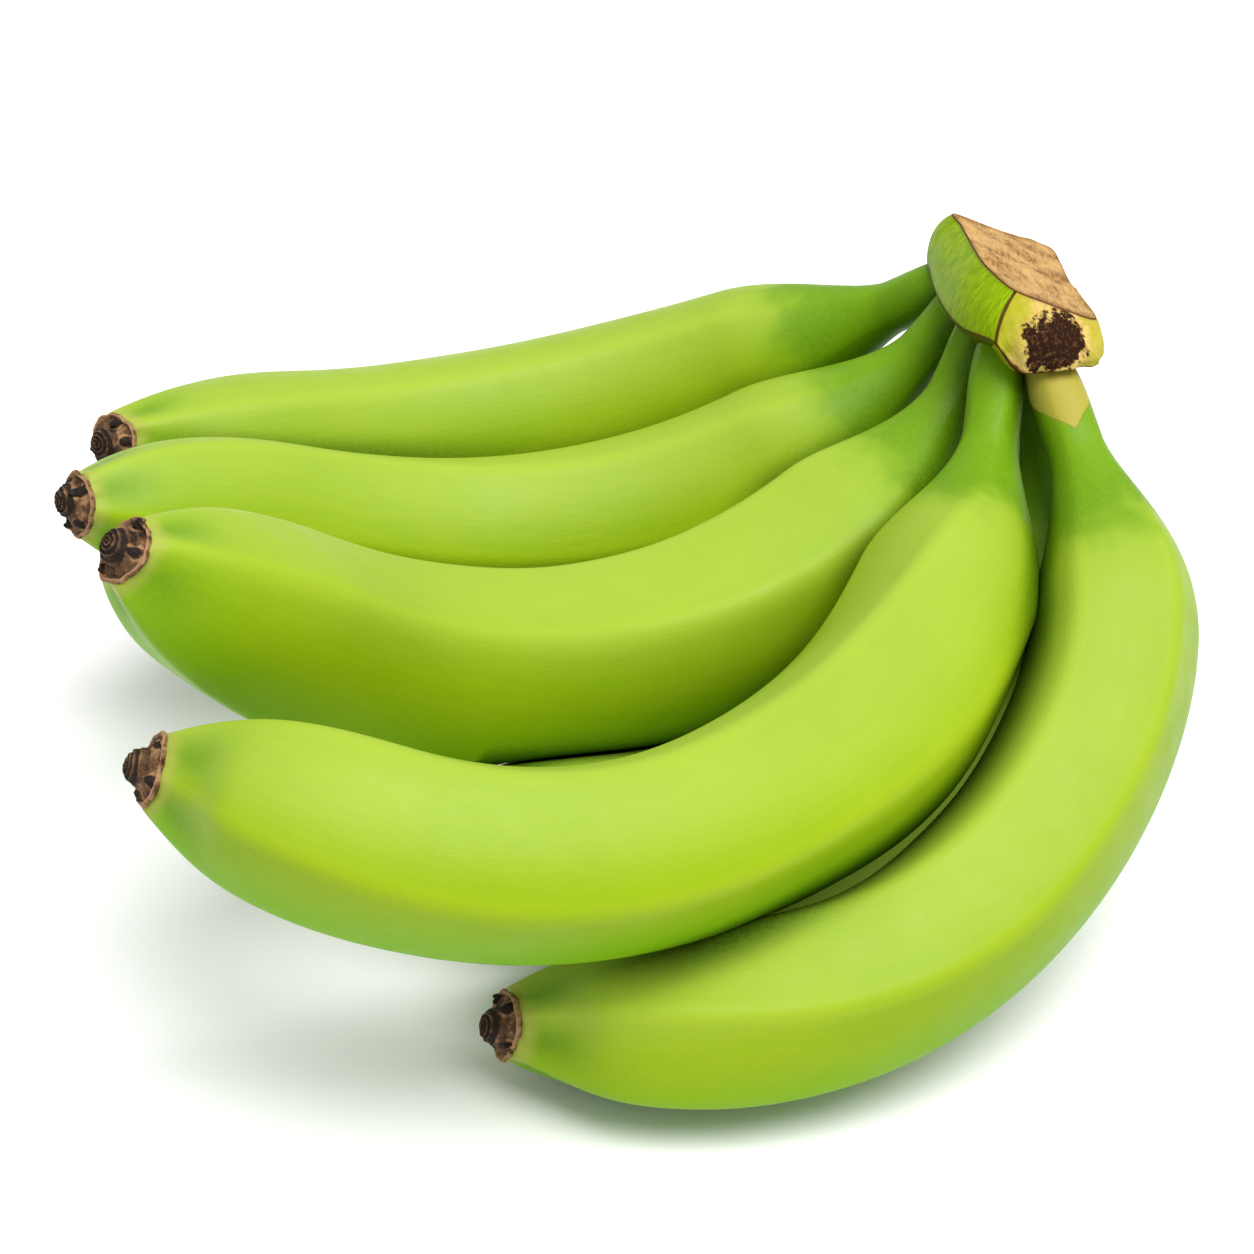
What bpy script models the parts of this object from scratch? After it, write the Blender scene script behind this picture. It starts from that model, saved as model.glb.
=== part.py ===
"""A hand of green bananas, lying on the backs of its outer row.

Eight fingers grow from one short piece of crown that was cut from the stem.
Five of them make the inner row, which lies on top and at the near side. The
other three make the outer row, which carries the inner row and touches the
surface. Each finger has a thin pedicel, a swelling body with five soft ridges
and a narrow end, which carries the dried remains of its flower.

Metres, +Z up. The origin is on the surface, below the middle of the bunch.
"""
import bpy
import math
import numpy as np
from mathutils import Vector
from mathutils.bvhtree import BVHTree

MM = 0.001

# Each finger: where its pedicel leaves the crown (mm), the heading of its
# start and of the side it curls to (azimuth and elevation, degrees), the whole
# bend (degrees), length along the middle and body radius (mm), how much of the
# bend is near the neck, how much is late, a sideways sway, how much more it
# bends at the end, where its five ridges run halfway along, as angles round the
# body from the inside of the curve, and how far they twist round it (degrees).
FINGERS = {
    "1": dict(base=(64, 75, 89.7), start=(138, -34.5), curl=(-145, 21), bend=92.5,
              length=194.5, radius=16.4, neck=0.76, late=-0.42, sway=-0.30, end=-0.28,
              ridges=(22, 95, 168, 240, 312), twist=0),
    "2": dict(base=(67.7, 61, 90.2), start=(-176.6, -56), curl=(-134, 23.7), bend=83,
              length=204, radius=16.4, neck=-0.24, late=-0.20, sway=0.80, end=-1.0,
              ridges=(8, 78, 150, 222, 298), twist=0),
    "3": dict(base=(70.5, 48, 89), start=(-130.5, -58.5), curl=(-133.5, 35), bend=103,
              length=218.5, radius=17.5, neck=-0.30, late=-1.07, sway=0.61, end=-0.18,
              ridges=(20, 85, 148, 212, 308), twist=-15),
    "4": dict(base=(73, 32.5, 87.5), start=(-98.6, -51.5), curl=(-195.5, -23.6), bend=106,
              length=234.5, radius=16.6, neck=-0.33, late=2.08, sway=-2.38, end=-1.88,
              ridges=(62, 133, 204, 290, 358), twist=122),
    "5": dict(base=(84.8, 27.7, 86.9), start=(-68.3, -41.8), curl=(-171.8, -30.4), bend=112,
              length=207.7, radius=15.9, neck=1.13, late=2.99, sway=-0.97, end=-1.84,
              ridges=(10, 82, 153, 224, 292), twist=20),
    "6": dict(base=(85, 42, 83), start=(-61, -64), curl=(-148, 2), bend=116,
              length=184, radius=14.3, neck=0.64, late=-0.19, sway=0.0, end=0.0,
              ridges=(10, 84, 150, 222, 296), twist=15),
    "7": dict(base=(78, 55, 81), start=(-98, -84), curl=(-142, 4), bend=120,
              length=184, radius=15.6, neck=0.70, late=-0.32, sway=-0.07, end=0.0,
              ridges=(26, 92, 168, 240, 312), twist=-12),
    "8": dict(base=(78, 68, 81), start=(124, -69), curl=(-163, 7), bend=114,
              length=190, radius=17.1, neck=0.93, late=-0.22, sway=0.05, end=0.0,
              ridges=(4, 80, 148, 216, 290), twist=10),
}

PEDICEL_RADIUS = 5.6        # mm, thin stalk of a finger
PEDICEL_LENGTH = 11.0       # mm, before the shoulder starts
SHOULDER_LENGTH = 40.0      # mm, from the stalk to the full body
TAPER_LENGTH = 46.0         # mm, from the full body to the end
END_RADIUS = 6.3            # mm, at the flower scar
ROOT = ((-5.0, 3.4), (-4.0, 4.9), (-2.0, 5.5))  # mm along and radius, in the crown
SOCKET_ROOM = 0.5           # mm, left round a root in the crown
SOCKET_AROUND = 12
RIDGES = 5
RIDGE_SHARPNESS = 6.0       # 2 would be round, more is more angular
AROUND = 20                 # vertices round a finger
ALONG = 22                  # rings along a finger
STEPS = 240                 # steps of the middle line
GAP = 0.6                   # mm, left between neighbours that press
LEAN = (-0.8, -1.4)         # degrees about X and Y, so it lies on three fingers

# The crown: a short slab with its cut face on top. Its outline runs round it
# from the far left corner, past the far end, the right side, the near end and
# the left side. Each corner has its place along and across the slab (mm) at
# the cut face, at the waist and at the rim over the pedicels, and the rim's
# height there.
CROWN_AXIS = (0.41, 0.12, 0.90)
CROWN_MIDDLE = (78.0, 52.0, 96.5)
CROWN_OUTLINE = (
    ((28, -12), (31, -13), (26, -13, -3.5)),
    ((31, -1), (33, -1), (30, -2, -5.0)),
    ((37, 11.5), (35, 12), (28, 9, -5.5)),
    ((30, 13), (26, 15), (20, 14, -5.5)),
    ((8, 11.5), (2, 15), (0, 16, -5.0)),
    ((-14, 12.5), (-20, 15), (-20, 15, -0.5)),
    ((-19, 6), (-26, 9), (-26.5, 8, -2.5)),
    ((-20.5, 0), (-27, 1), (-26, 0, -6.8)),
    ((-22, -7), (-25, -8), (-26, -7, -3.5)),
    ((-17, -10), (-19, -12), (-19, -11.5, -5.0)),
    ((-7, -12), (-9, -14), (-10, -13.5, -5.5)),
    ((10, -12), (7, -14.5), (3, -14.5, -5.0)),
    ((20, -12), (20, -14.5), (15, -14.5, -3.8)),
)
CROWN_TOP = 6.8             # mm above the slab's middle
WAIST_SHARE = 0.55          # of the way down from the cut face to the rim
CROWN_BASE = -14.0          # the domed underside between the pedicels

# The dried flower remains on each finger's end: radius and height (mm) of the
# turned profile, from the skin out to the tip of the little dome.
BLOSSOM_PROFILE = (
    (5.2, 0.6),
    (6.3, 0.8),
    (6.6, 1.6),
    (5.6, 2.3),
    (3.9, 3.0),
    (2.2, 4.2),
)
BLOSSOM_AROUND = 12

SKIN = (0.30, 0.50, 0.05)
CORK = (0.42, 0.30, 0.16)
DRIED = (0.10, 0.06, 0.04)


def heading(azimuth, elevation):
    """Unit vector from an azimuth and an elevation in degrees."""
    a = math.radians(azimuth)
    e = math.radians(elevation)
    return np.array([math.cos(e) * math.cos(a), math.cos(e) * math.sin(a), math.sin(e)])


def unit(v):
    v = np.asarray(v, float)
    return v / np.linalg.norm(v)


def ease(x):
    """Smooth step from 0 to 1."""
    x = np.clip(x, 0.0, 1.0)
    return x * x * (3.0 - 2.0 * x)


def middle_line(f):
    """Points, headings and side vectors along a finger's middle line."""
    u = np.linspace(0.0, 1.0, STEPS)
    start = heading(*f["start"])
    curl = heading(*f["curl"])
    curl = unit(curl - start * (curl @ start))
    side = np.cross(start, curl)
    share = 1.0 + f["neck"] * np.exp(-((u - 0.22) / 0.13) ** 2) + f["late"] * (u - 0.5)
    share += f["end"] * np.exp(-((u - 0.92) / 0.16) ** 2)
    share = np.maximum(share, 0.02)
    total = np.concatenate([[0.0], np.cumsum((share[1:] + share[:-1]) / 2)])
    angle = math.radians(f["bend"]) * total / total[-1]
    t = np.outer(np.cos(angle), start) + np.outer(np.sin(angle), curl)
    t += np.outer(0.5 * f["sway"] * np.sin(math.pi * u), side)
    t /= np.linalg.norm(t, axis=1)[:, None]
    step = f["length"] / (STEPS - 1)
    moves = np.cumsum((t[1:] + t[:-1]) / 2 * step, axis=0)
    p = np.array(f["base"], float) + np.vstack([np.zeros(3), moves])
    side = side - t * (t @ side)[:, None]
    side /= np.linalg.norm(side, axis=1)[:, None]
    return u * f["length"], p, t, side


def body_radius(s, f):
    """Mean radius of a finger at the distances s from its base."""
    swell = ease((s - PEDICEL_LENGTH) / SHOULDER_LENGTH) ** 0.8
    r = PEDICEL_RADIUS + (f["radius"] - PEDICEL_RADIUS) * swell
    end = np.clip((s - f["length"] + TAPER_LENGTH) / TAPER_LENGTH, 0.0, 1.0) ** 2.5
    return r * (1.0 - end) + END_RADIUS * end


def ridged(angle, sharpness):
    """Radius factor of a softly angular section, about 1 on average."""
    total = np.zeros_like(angle)
    for k in range(RIDGES):
        facet = 2.0 * math.pi * (k + 0.5) / RIDGES
        total += np.maximum(np.cos(angle - facet), 0.0) ** sharpness
    return total ** (-1.0 / sharpness) / 1.045


def finger_points(f):
    """Rings of points along a finger, base first, in mm."""
    s_all, p_all, t_all, side_all = middle_line(f)
    s = 2.0 + (f["length"] - 2.0) * np.linspace(0.0, 1.0, ALONG) ** 1.25
    p = np.array([np.interp(s, s_all, p_all[:, k]) for k in range(3)]).T
    t = np.array([np.interp(s, s_all, t_all[:, k]) for k in range(3)]).T
    side = np.array([np.interp(s, s_all, side_all[:, k]) for k in range(3)]).T
    inner = np.cross(side, t)
    angle = 2.0 * math.pi * np.arange(AROUND) / AROUND
    r = body_radius(s, f)
    shape = ridged(angle, RIDGE_SHARPNESS)
    marks = np.radians(np.array(f["ridges"] + (f["ridges"][0] + 360,)))
    turn = np.interp(angle, 2.0 * math.pi * np.arange(RIDGES + 1) / RIDGES, marks)
    twist = math.radians(f["twist"]) * (s / f["length"] - 0.5)
    turn = turn[None, :] + twist[:, None]
    spokes = (np.cos(turn)[:, :, None] * inner[:, None, :]
              + np.sin(turn)[:, :, None] * side[:, None, :])
    rings = p[:, None, :] + (r[:, None] * shape[None, :])[:, :, None] * spokes
    root = [p_all[0] + t_all[0] * back + spokes[0] * size for back, size in ROOT]
    return np.vstack([np.array(root), rings]), p[-1], t[-1], side[-1]


def socket_points(f):
    """Rings of the room that a pedicel's root needs in the crown, in mm."""
    _, p_all, t_all, side_all = middle_line(f)
    inner = np.cross(side_all[0], t_all[0])
    angle = 2.0 * math.pi * np.arange(SOCKET_AROUND) / SOCKET_AROUND
    spokes = np.outer(np.cos(angle), inner) + np.outer(np.sin(angle), side_all[0])
    rings = [p_all[0] + t_all[0] * back + spokes * (size + SOCKET_ROOM)
             for back, size in ROOT]
    rings[0] = rings[0] - t_all[0] * SOCKET_ROOM
    for ahead in (4.0, 12.0):
        rings.append(p_all[0] + t_all[0] * ahead + spokes * (PEDICEL_RADIUS + SOCKET_ROOM + 0.3))
    return np.array(rings)


def tube_faces(rings, around):
    """Quads of a tube of rings, with a fan over each end."""
    faces = []
    for i in range(rings - 1):
        for j in range(around):
            k = (j + 1) % around
            a = i * around
            b = a + around
            faces.append((a + j, b + j, b + k, a + k))
    low = rings * around
    high = low + 1
    last = (rings - 1) * around
    for j in range(around):
        k = (j + 1) % around
        faces.append((low, j, k))
        faces.append((high, last + k, last + j))
    return faces


def tube_verts(rings):
    """Ring points, then the middle of the first and of the last ring."""
    flat = rings.reshape(-1, 3)
    return np.vstack([flat, rings[0].mean(axis=0), rings[-1].mean(axis=0)])


def tree(solid):
    """Nearest-point tree of a solid's surface, quads cut into triangles."""
    triangles = []
    for face in solid["faces"]:
        for k in range(1, len(face) - 1):
            triangles.append((face[0], face[k], face[k + 1]))
    return BVHTree.FromPolygons([Vector(v) for v in solid["verts"]], triangles)


def inside(surface, point):
    """True if a point is within a closed surface."""
    ray = Vector((0.31, 0.52, 0.79)).normalized()
    hits = 0
    spot = point
    while True:
        hit, _, _, distance = surface.ray_cast(spot, ray)
        if hit is None:
            return hits % 2 == 1
        hits += 1
        spot = hit + ray * 0.001


def pressed(points, neighbour, surface, reach):
    """How far each point must move to keep its half of the gap."""
    moves = np.zeros_like(points)
    low = neighbour["verts"].min(axis=0) - GAP
    high = neighbour["verts"].max(axis=0) + GAP
    for i in np.nonzero(np.all((points > low) & (points < high), axis=1))[0]:
        v = Vector(points[i])
        spot, normal, _, distance = surface.find_nearest(v, reach)
        if spot is None or (distance > GAP and not inside(surface, v)):
            continue
        if distance < 0.02:
            away, signed = normal, 0.0
        elif inside(surface, v):
            away, signed = (spot - v) / distance, -distance
        else:
            away, signed = (v - spot) / distance, distance
        moves[i] = np.array(away) * ((GAP - signed) * 0.52)
    return moves


def push_apart(solids, rounds=8, reach=5.0):
    """Flatten touching neighbours against each other, leaving a thin gap.

    Corners and the middles of the faces are both tested; a middle that is too
    near moves its face's corners.
    """
    for _ in range(rounds):
        surfaces = {name: tree(solid) for name, solid in solids.items()}
        moves = {}
        for name, solid in solids.items():
            verts = solid["verts"]
            middles = np.array([verts[list(face)].mean(axis=0) for face in solid["faces"]])
            points = np.vstack([verts, middles])
            total = np.zeros_like(points)
            for other, neighbour in solids.items():
                if other != name:
                    total += pressed(points, neighbour, surfaces[other], reach)
            move = total[:len(verts)]
            for k in np.nonzero(np.any(total[len(verts):] != 0.0, axis=1))[0]:
                want = total[len(verts) + k]
                for i in solid["faces"][k]:
                    if want @ want > move[i] @ move[i]:
                        move[i] = want
            moves[name] = move
        for name, solid in solids.items():
            solid["verts"] = solid["verts"] + moves[name]


def paint(name, colour, roughness):
    """A Principled material with a plain colour."""
    mat = bpy.data.materials.new(name)
    mat.use_nodes = True
    shader = mat.node_tree.nodes["Principled BSDF"]
    shader.inputs["Base Color"].default_value = (*colour, 1.0)
    shader.inputs["Roughness"].default_value = roughness
    shader.inputs["Metallic"].default_value = 0.0
    mat.diffuse_color = (*colour, 1.0)
    return mat


def add_object(name, verts, faces, colour, roughness):
    mesh = bpy.data.meshes.new(name)
    mesh.from_pydata([tuple(v) for v in verts * MM], [], faces)
    mesh.update()
    mesh.shade_smooth()
    obj = bpy.data.objects.new(name, mesh)
    bpy.context.scene.collection.objects.link(obj)
    obj.data.materials.append(paint(name, colour, roughness))
    return obj


def build_finger(f):
    """Points and faces of one finger, and where its flower end sits."""
    rings, tip, axis, side = finger_points(f)
    solid = dict(verts=tube_verts(rings), faces=tube_faces(len(rings), AROUND))
    return solid, (tip, axis, side)


def blossom(tip, axis, side, phase):
    """Dried flower end: a small turned disc with a lumpy dome."""
    across = np.cross(axis, side)
    rings = []
    for k, (radius, height) in enumerate(BLOSSOM_PROFILE):
        ring = []
        for j in range(BLOSSOM_AROUND):
            a = 2.0 * math.pi * j / BLOSSOM_AROUND
            r = radius * (1.0 + 0.05 * math.sin(5.0 * a + phase + 0.6 * k))
            ring.append(tip + axis * height + r * (math.cos(a) * across + math.sin(a) * side))
        rings.append(ring)
    rings = np.array(rings)
    return dict(verts=tube_verts(rings), faces=tube_faces(len(rings), BLOSSOM_AROUND))


def crown_frame():
    """Directions along, across and up the crown."""
    up = unit(CROWN_AXIS)
    along = np.array([0.0, 1.0, 0.0])
    along = unit(along - up * (along @ up))
    return along, np.cross(along, up), up


def softened(points):
    """Closed outline with a rounded point added between each pair of corners."""
    before = np.roll(points, 1, axis=0)
    after = np.roll(points, -1, axis=0)
    later = np.roll(points, -2, axis=0)
    between = (9.0 * (points + after) - before - later) / 16.0
    out = np.empty((2 * len(points), points.shape[1]))
    out[0::2] = points
    out[1::2] = between
    return out


def crown():
    """The cut piece of crown that the pedicels hang from."""
    along, across, up = crown_frame()
    cut = np.array([corner[0] for corner in CROWN_OUTLINE], float)
    waist = np.array([corner[1] for corner in CROWN_OUTLINE], float)
    rim = np.array([corner[2][:2] for corner in CROWN_OUTLINE], float)
    rim_height = np.array([corner[2][2] for corner in CROWN_OUTLINE], float)
    waist_height = CROWN_TOP + (rim_height - CROWN_TOP) * WAIST_SHARE
    levels = (
        (CROWN_TOP, cut * 0.97),
        (CROWN_TOP - 0.6, cut),
        (0.5 * (CROWN_TOP + waist_height), 0.45 * cut + 0.55 * waist),
        (waist_height, waist),
        (0.5 * (waist_height + rim_height), 0.5 * (waist + rim) * 1.01),
        (rim_height, rim),
        (0.5 * (rim_height + CROWN_BASE), rim * 0.88),
        (CROWN_BASE, rim * 0.62),
    )
    rings = []
    for height, outline in levels:
        soft = softened(np.column_stack([outline, np.full(len(outline), height)]))
        ring = (np.outer(soft[:, 0], along) + np.outer(soft[:, 1], across)
                + np.outer(soft[:, 2], up))
        rings.append(np.array(CROWN_MIDDLE) + ring)
    rings = np.array(rings)
    return dict(verts=tube_verts(rings), faces=tube_faces(len(rings), rings.shape[1]))


def facing_out(solid):
    """Turn the faces round if the solid is inside out."""
    v = solid["verts"]
    volume = 0.0
    for face in solid["faces"]:
        for k in range(1, len(face) - 1):
            a, b, c = v[face[0]], v[face[k]], v[face[k + 1]]
            volume += float(np.dot(a, np.cross(b, c)))
    if volume < 0.0:
        solid["faces"] = [tuple(reversed(face)) for face in solid["faces"]]


def lean(verts):
    """Points turned a little about X, then about Y."""
    a = math.radians(LEAN[0])
    b = math.radians(LEAN[1])
    x, y, z = verts[:, 0], verts[:, 1], verts[:, 2]
    y, z = y * math.cos(a) - z * math.sin(a), y * math.sin(a) + z * math.cos(a)
    x, z = x * math.cos(b) + z * math.sin(b), z * math.cos(b) - x * math.sin(b)
    return np.column_stack([x, y, z])


def centred(solids, cutters):
    """Lay the whole bunch down with the origin under its middle."""
    for solid in list(solids.values()) + list(cutters.values()):
        solid["verts"] = lean(solid["verts"])
    everything = np.vstack([s["verts"] for s in solids.values()])
    low = everything.min(axis=0)
    high = everything.max(axis=0)
    shift = np.array([(low[0] + high[0]) / 2, (low[1] + high[1]) / 2, low[2]])
    for solid in list(solids.values()) + list(cutters.values()):
        solid["verts"] = solid["verts"] - shift


def cut_sockets(body, cutters):
    """Hollow the crown out round each pedicel's root."""
    for key, cutter in cutters.items():
        tool = add_object("socket_cutter_" + key, cutter["verts"], cutter["faces"], CORK, 0.75)
        tool.hide_render = True
        tool.display_type = "WIRE"
        cut = body.modifiers.new("socket_" + key, "BOOLEAN")
        cut.operation = "DIFFERENCE"
        cut.solver = "EXACT"
        cut.object = tool


def main():
    for obj in list(bpy.data.objects):
        bpy.data.objects.remove(obj, do_unlink=True)
    solids = {"crown": crown()}
    for key, f in FINGERS.items():
        solid, (tip, axis, side) = build_finger(f)
        solids["banana_" + key] = solid
        solids["blossom_end_" + key] = blossom(tip, axis, side, float(key))
    for solid in solids.values():
        facing_out(solid)
    slab = solids.pop("crown")
    push_apart(solids)
    solids["crown"] = slab
    cutters = {}
    for key, f in FINGERS.items():
        rings = socket_points(f)
        cutters[key] = dict(verts=tube_verts(rings), faces=tube_faces(len(rings), SOCKET_AROUND))
        facing_out(cutters[key])
    centred(solids, cutters)
    for name, solid in solids.items():
        if name == "crown":
            body = add_object(name, solid["verts"], solid["faces"], CORK, 0.75)
            cut_sockets(body, cutters)
        elif name.startswith("banana"):
            add_object(name, solid["verts"], solid["faces"], SKIN, 0.45)
        else:
            add_object(name, solid["verts"], solid["faces"], DRIED, 0.85)


main()
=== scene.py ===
"""A hand of green bananas lying on a white table, lit like a studio picture.

The fingers are swept again along the same middle lines as the frame's, with a
finer skin: soft ridges, flats where neighbours touch, folds round the flower
scar. The crown is a stack of rings, each dried flower end a height field.
Lengths are in millimetres until a mesh is made; the frame is in metres.
"""
import bpy
import math
import numpy as np
from mathutils import Matrix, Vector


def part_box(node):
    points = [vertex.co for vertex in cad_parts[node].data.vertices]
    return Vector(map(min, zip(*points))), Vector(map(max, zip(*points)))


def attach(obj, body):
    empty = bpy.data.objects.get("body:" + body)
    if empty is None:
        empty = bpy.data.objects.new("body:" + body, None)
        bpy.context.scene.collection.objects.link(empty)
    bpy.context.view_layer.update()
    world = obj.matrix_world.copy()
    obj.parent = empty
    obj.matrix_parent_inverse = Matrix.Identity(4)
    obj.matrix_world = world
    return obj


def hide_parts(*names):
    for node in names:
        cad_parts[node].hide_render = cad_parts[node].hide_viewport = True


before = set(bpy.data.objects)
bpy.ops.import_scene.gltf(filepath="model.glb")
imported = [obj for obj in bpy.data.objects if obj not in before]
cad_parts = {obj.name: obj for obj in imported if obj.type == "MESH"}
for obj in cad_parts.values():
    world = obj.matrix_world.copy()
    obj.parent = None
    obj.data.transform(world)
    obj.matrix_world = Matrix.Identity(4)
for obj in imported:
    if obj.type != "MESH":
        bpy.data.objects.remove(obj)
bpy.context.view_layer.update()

MM = 0.001

# ---------------------------------------------------------------- dimensions

# Each finger, much as in the frame: where its pedicel leaves the crown (mm), the
# heading of its start and of the side it curls to (azimuth and elevation,
# degrees), the whole bend (degrees), length and body radius (mm). Then how the
# bend is shared out: what it gains at the neck, in the later half and near the
# end, and how far the line sways to the side. Then its five ridges halfway
# along, as angles round the body from the inside of the curve, how far they
# twist round it (degrees), how crisp they are, and how firm the finger is where
# neighbours press it.
FINGERS = {
    "1": dict(base=(64, 75, 89.7), start=(138, -34.5), curl=(-145, 21), bend=92.5,
              length=194.5, radius=16.4, neck=0.76, late=-0.42, sway=-0.30, end=-0.28,
              ridges=(22, 95, 168, 240, 312), twist=0, crisp=0.50, firm=1),
    "2": dict(base=(67.7, 61, 90.2), start=(-176.6, -56), curl=(-134, 23.7), bend=83,
              length=204, radius=16.4, neck=-0.24, late=-0.20, sway=0.80, end=-1.0,
              ridges=(8, 78, 150, 222, 298), twist=0, crisp=0.50, firm=1),
    "3": dict(base=(70.5, 48, 89), start=(-130.5, -58.5), curl=(-133.5, 35), bend=103,
              length=218.5, radius=17.5, neck=-0.30, late=-1.07, sway=0.61, end=-0.18,
              ridges=(20, 85, 148, 212, 308), twist=-15, crisp=0.76, firm=1),
    "4": dict(base=(73, 32.5, 87.5), start=(-98.6, -51.5), curl=(-195.5, -23.6), bend=106,
              length=234.5, radius=16.6, neck=-0.33, late=2.08, sway=-2.38, end=-1.88,
              ridges=(62, 133, 204, 290, 358), twist=122, crisp=0.66, firm=1),
    "5": dict(base=(84.8, 27.7, 86.9), start=(-68.3, -41.8), curl=(-171.8, -30.4), bend=112,
              length=207.7, radius=15.9, neck=1.13, late=2.99, sway=-0.97, end=-1.84,
              ridges=(10, 82, 153, 224, 292), twist=20, crisp=0.66, firm=3),
    "6": dict(base=(83, 42, 83), start=(-61, -64), curl=(-148, 2), bend=116,
              length=184, radius=14.3, neck=0.64, late=-0.19, sway=0.0, end=0.0,
              ridges=(10, 84, 150, 222, 296), twist=15, crisp=0.62, firm=1),
    "7": dict(base=(78, 55, 81), start=(-98, -84), curl=(-142, 4), bend=120,
              length=184, radius=15.6, neck=0.70, late=-0.32, sway=-0.07, end=0.0,
              ridges=(26, 92, 168, 240, 312), twist=-12, crisp=0.62, firm=1),
    "8": dict(base=(78, 68, 81), start=(124, -69), curl=(-163, 7), bend=114,
              length=190, radius=17.1, neck=0.93, late=-0.22, sway=0.05, end=0.0,
              ridges=(4, 80, 148, 216, 290), twist=10, crisp=0.62, firm=1),
}

# Where along a finger its neck and its end bend: place and width, as shares.
NECK_BEND = (0.22, 0.13)
END_BEND = (0.92, 0.16)
LEAST_BEND = 0.02

# How far a finger's end turns to the front, as a share added to its heading.
END_TURN = {"1": 0.3, "2": -0.28, "3": -0.3, "4": 0.85, "5": 0.70}
FRONT = (0.0, -0.87, 0.49)
END_TURN_LENGTH = 24.0      # mm over which it turns

# Fuller sides of a finger: height, place and half length along the finger (mm),
# and the angle round the body (degrees).
BELLIES = {
    "3": ((1.5, 130.0, 38.0, 215.0),),
    "4": ((3.9, 87.0, 28.0, 155.0), (1.0, 112.0, 34.0, 345.0)),
}

# Where a finger's ridges turn further: by how much (degrees), from where and
# over what length (mm).
LATE_TWIST = {"5": (45.0, 110.0, 90.0)}

# The pale patch on one pedicel, just under the crown.
PALE_FINGER = "5"
PALE_ANGLE = 265.0          # degrees round the pedicel
PALE_REACH = 9.5            # mm down the pedicel
PALE_SPREAD = 95.0          # degrees to each side

# The shape that all fingers share, in mm.
PEDICEL_RADIUS = 5.6
PEDICEL_LENGTH = 11.0
SHOULDER_LENGTH = 40.0
SHOULDER_POWER = 0.8
TAPER_LENGTH = 46.0
TAPER_POWER = 2.5
END_RADIUS = 6.3
ROOT_LENGTH = 10.0          # of the pedicel that is buried in the crown
ROOT_START = 2.0            # the root grows thinner from here
ROOT_TAPER = 0.35           # share of its radius that it loses
RIDGE_SHARPNESS = 16.0      # 2 would be round, more is more angular
WOBBLE = 1.5                # degrees that the ridges wander to and fro
FOLD_PLACE = 5.0            # of the folds, before the flower scar
FOLD_WIDTH = 6.5
FOLD_DEPTH = 0.75
SKIN_WAVE = 0.10            # slow unevenness of the skin
PUCKER_WIDTH = 3.0          # of the small puckers at the scar
PUCKER_DEPTH = 0.10

STEPS = 240                 # steps of a middle line
AROUND = 120                # vertices round a finger, a whole number between ridges
NECK_REACH = 45.0           # rings are NECK_STEP apart up to here
NECK_STEP = 1.0
BODY_STEP = 1.5             # the widest step beyond
END_STEP = 0.3              # the step at the end, growing by STEP_GROWTH per mm
STEP_GROWTH = 0.12

# How neighbours press each other flat, and how dark the painted shade on the skin between them is.
GAP = 0.15                  # mm left between touching fingers
PRESS_ROUNDS = 6
PRESS_PUSH = 1.1            # overlap removed in a round, a little more than all
PRESS_FACING = 0.25         # skin that faces a neighbour less than this stays
PRESS_LIMIT = 0.2           # largest cut of a round, as a share of the radius
SHADE_REACH = 9.0           # mm; painted shade darkens skin nearer than this to a neighbour
SHADE_FACING = 0.05         # skin that faces a neighbour more than this darkens,
SHADE_FACING_RANGE = 0.6    # fully when it faces it by this much more

LEAN = (-0.8, -1.4)         # degrees about X and Y, as in the frame

# The crown: its axis and middle, then its outline, corner by corner: along and
# across at the cut face, the same at the waist, and along, across and height at
# the rim (mm).
CROWN_AXIS = (0.41, 0.12, 0.90)
CROWN_MIDDLE = (78.0, 52.0, 96.5)
CROWN_OUTLINE = (
    ((28, -12), (31, -13), (26, -13, -3.5)),
    ((31, -1), (33, -1), (30, -2, -5.0)),
    ((37, 11.5), (35, 12), (28, 9, -5.5)),
    ((30, 13), (26, 15), (20, 14, -5.5)),
    ((8, 11.5), (2, 15), (0, 16, -5.0)),
    ((-14, 12.5), (-20, 15), (-20, 15, -0.5)),
    ((-19, 6), (-26, 9), (-26.5, 8, -2.5)),
    ((-20.5, 0), (-27, 1), (-26, 0, -6.8)),
    ((-22, -7), (-25, -8), (-26, -7, -3.5)),
    ((-17, -10), (-19, -12), (-19, -11.5, -5.0)),
    ((-7, -12), (-9, -14), (-10, -13.5, -5.5)),
    ((10, -12), (7, -14.5), (3, -14.5, -5.0)),
    ((20, -12), (20, -14.5), (15, -14.5, -3.8)),
)
CROWN_TOP = 6.8             # height of the cut face
WAIST_SHARE = 0.55          # of the way down from the cut face to the rim

# What the frame's crown has and this one doesn't: the inset of its top face, the
# height of its bevel, and its base.
CAD_TOP_SHARE = 0.97
CAD_BEVEL = 0.6
CAD_BASE_SHARE = 0.62
CAD_BASE = -14.0

# The camera, in the same coordinates as the fingers: it looks along +Y and
# down, at a point above the table's middle.
VIEW_DOWN = 29.24           # degrees
VIEW_DISTANCE = 575.6       # mm
VIEW_TARGET = (0.0, 0.0, 50.5)
LENS = 85.0                 # mm, on a sensor as wide as SENSOR_WIDTH
SENSOR_WIDTH = 36.0         # mm
CLIP_START = 0.01           # m
CLIP_END = 100.0            # m

ROOM_LOW = 0.26             # light of the room near the floor
ROOM_HIGH = 1.00            # and overhead
LAMP_STRENGTH = 3.7
LAMP_WIDTH = 45.0           # degrees, its size as seen from the fruit
LAMP_TURN = (17.0, 15.0, 0.0)  # degrees about X, Y and Z


# ------------------------------------------------------------------- helpers

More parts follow.
